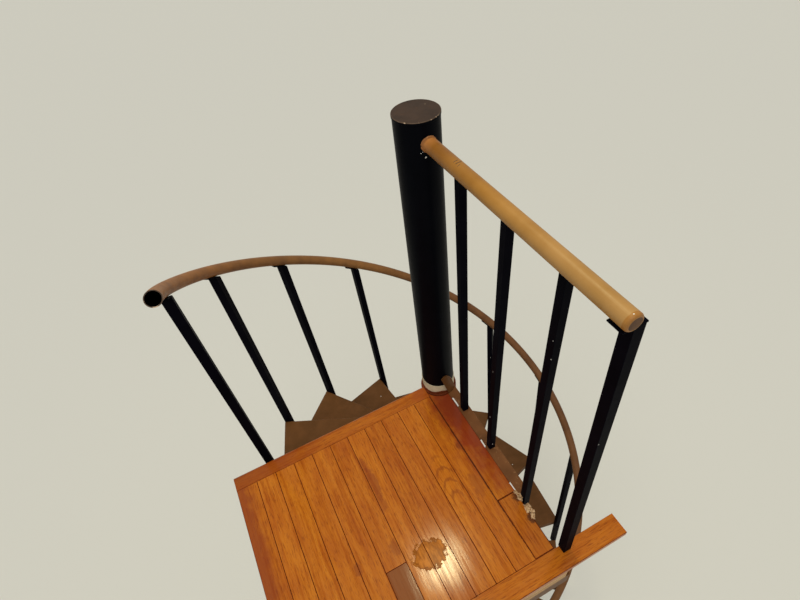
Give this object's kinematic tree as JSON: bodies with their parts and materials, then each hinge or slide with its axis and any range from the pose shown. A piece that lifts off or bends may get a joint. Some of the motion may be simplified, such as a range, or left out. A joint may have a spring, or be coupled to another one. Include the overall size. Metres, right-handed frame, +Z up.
{
  "type": "spiral staircase",
  "caption": "Steel spiral staircase with a round pole, wedge treads, square balusters, a helical tube handrail and an oak floored landing with a straight guard.",
  "frame": {"origin": "on the pole's axis at the underside of the base plate, where it stands on the lower floor", "axes": "+Z up along the pole; +Y along the landing's floor boards, from the doorway towards the stair; +X from the landing's wall side towards its guard"},
  "size_m": [1.277, 1.2363, 3.715],
  "materials": {
    "black_steel": "semi-gloss black paint on steel",
    "dark_brown_steel": "worn satin dark brown paint on steel",
    "brown_steel": "satin brown paint on steel, speckled and scuffed",
    "tan_paint": "semi-gloss golden tan paint on steel tube",
    "cream_paint": "chipped matte cream primer on steel",
    "oak_floor": "glossy orange brown oak strip, worn in places",
    "subfloor_wood": "raw softwood and sheathing"
  },
  "bodies": {
    "root": {"base_plate": "black_steel", "center_pole": "black_steel", "pole_cap": "dark_brown_steel", "hub_spacers": "brown_steel", "tread_01": "brown_steel", "tread_02": "brown_steel", "tread_03": "brown_steel", "tread_04": "brown_steel", "tread_05": "brown_steel", "tread_06": "brown_steel", "tread_07": "brown_steel", "tread_08": "brown_steel", "tread_09": "brown_steel", "tread_10": "brown_steel", "tread_11": "brown_steel", "tread_12": "brown_steel", "baluster_00": "black_steel", "baluster_01": "black_steel", "baluster_02": "black_steel", "baluster_03": "black_steel", "baluster_04": "black_steel", "baluster_05": "black_steel", "baluster_06": "black_steel", "baluster_07": "black_steel", "baluster_08": "black_steel", "baluster_09": "black_steel", "baluster_10": "black_steel", "baluster_11": "black_steel", "baluster_12": "black_steel", "handrail": "tan_paint", "landing_frame": "brown_steel", "landing_subfloor": "subfloor_wood", "landing_deck": "oak_floor", "nosing_board": "oak_floor", "threshold_board": "oak_floor", "side_strip": "brown_steel", "foot_ring": "cream_paint", "guard_rail": "tan_paint", "guard_baluster_1": "black_steel", "guard_baluster_2": "black_steel", "guard_baluster_3": "black_steel", "guard_end_post": "black_steel"}
  },
  "joints": []
}
